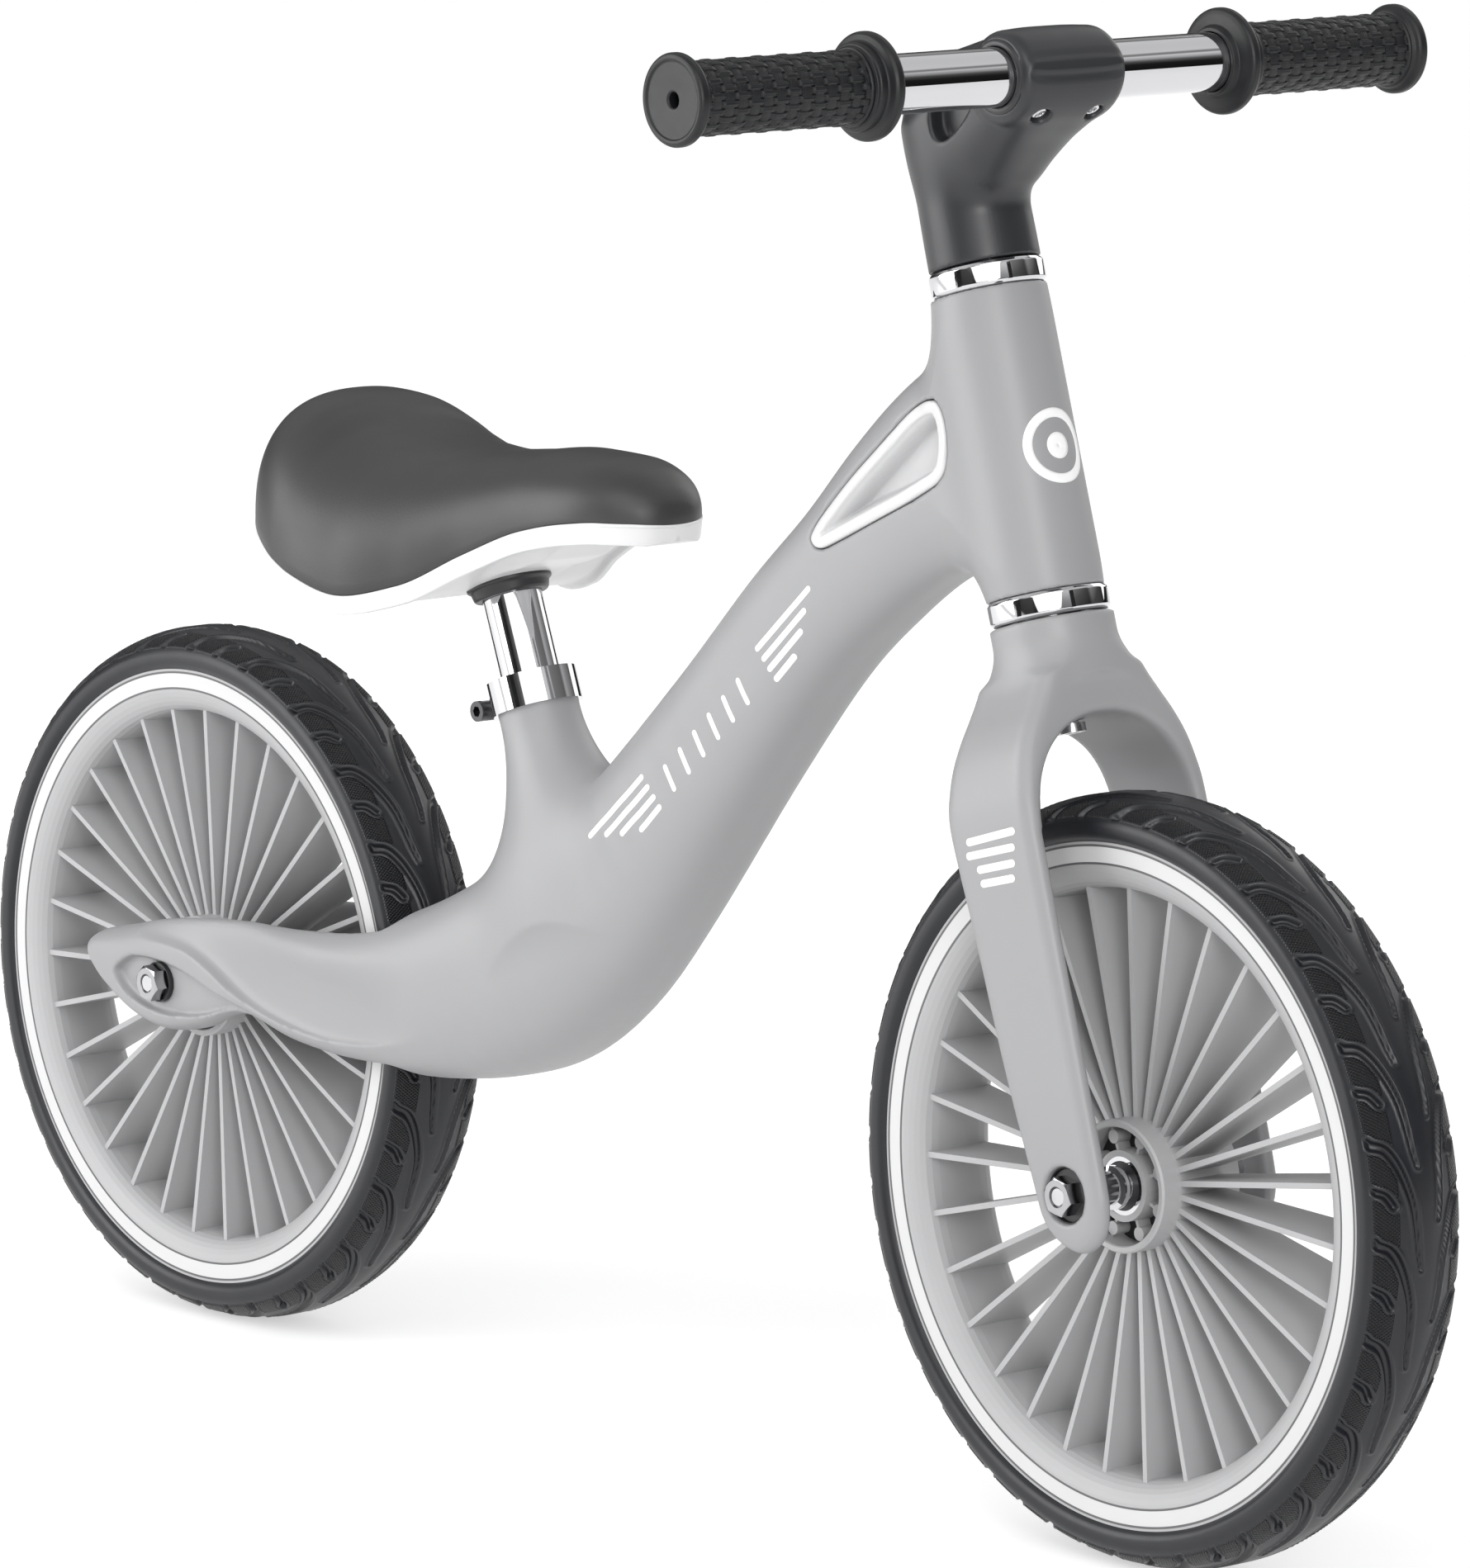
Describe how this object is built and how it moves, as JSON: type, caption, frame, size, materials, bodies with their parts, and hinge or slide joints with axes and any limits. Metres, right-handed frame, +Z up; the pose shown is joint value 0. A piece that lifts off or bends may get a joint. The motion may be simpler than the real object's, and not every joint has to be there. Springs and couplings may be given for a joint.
{
  "type": "child's balance bike",
  "caption": "Child's balance bike with finned wheels and foam tyres, one-piece swept frame, steered fork, stem with straight bar and grips, and a saddle on an adjustable post.",
  "frame": {"origin": "on the floor under the middle of the bike's bounding box", "axes": "+X forward, +Y to the rider's left, +Z up"},
  "size_m": [0.8526, 0.359, 0.5694],
  "materials": {
    "frame_grey": "fine matte moulded grain",
    "rim_grey": "matte moulded",
    "white_plastic": "satin white",
    "tyre_foam": "matte closed-cell foam",
    "chrome": "polished",
    "zinc_steel": "plain bright steel",
    "black_plastic": "satin charcoal",
    "grip_rubber": "matte woven pattern",
    "saddle_pu": "fine grain"
  },
  "bodies": {
    "frame": {"frame": "frame_grey", "trim_insert_left": "white_plastic", "trim_insert_right": "white_plastic", "headset_collar_lower": "chrome", "headset_collar_upper": "chrome", "headset_bearing_lower": "black_plastic", "headset_bearing_upper": "black_plastic", "seat_clamp": "chrome", "seat_clamp_bolt": "zinc_steel", "seat_clamp_nut": "zinc_steel", "rear_axle": "zinc_steel", "rear_axle_spacers": "zinc_steel", "rear_axle_washers": "zinc_steel", "rear_axle_nuts": "chrome"},
    "fork_assembly": {"fork": "frame_grey", "steerer_tube": "zinc_steel", "steerer_plug": "black_plastic", "crown_bolt": "zinc_steel", "stem": "black_plastic", "stem_screws": "zinc_steel", "handlebar": "chrome", "grip_left": "grip_rubber", "grip_right": "grip_rubber", "front_axle": "zinc_steel", "front_axle_spacers": "zinc_steel", "front_axle_washers": "zinc_steel", "front_axle_nuts": "chrome"},
    "front_wheel": {"front_rim": "rim_grey", "front_tyre": "tyre_foam", "front_rim_bands": "white_plastic", "front_bearing_outer_races": "chrome", "front_bearing_inner_races": "chrome", "front_bearing_seals": "black_plastic", "front_hub_tube": "zinc_steel"},
    "rear_wheel": {"rear_rim": "rim_grey", "rear_tyre": "tyre_foam", "rear_rim_bands": "white_plastic", "rear_bearing_outer_races": "chrome", "rear_bearing_inner_races": "chrome", "rear_bearing_seals": "black_plastic", "rear_hub_tube": "zinc_steel"},
    "seat": {"seat_post": "chrome", "seat_post_plugs": "black_plastic", "seat_bush": "black_plastic", "saddle_base": "white_plastic", "saddle_bolt": "zinc_steel", "saddle_cushion": "saddle_pu"}
  },
  "joints": [
    {"name": "steering", "type": "hinge", "parent": "frame", "child": "fork_assembly", "pos_m": [0.28179, 0, 0.1445], "axis": [-0.2818, 0, 0.9595], "range_deg": [-90, 90]},
    {"name": "front_wheel_spin", "type": "hinge", "parent": "fork_assembly", "child": "front_wheel", "pos_m": [0.28179, 0, 0.1445], "axis": [0, 1, 0], "continuous": true},
    {"name": "rear_wheel_spin", "type": "hinge", "parent": "frame", "child": "rear_wheel", "pos_m": [-0.28179, 0, 0.1445], "axis": [0, 1, 0], "continuous": true},
    {"name": "seat_height", "type": "slide", "parent": "frame", "child": "seat", "axis": [-0.3584, 0, 0.9336], "range_m": [-0.03, 0.045]}
  ]
}
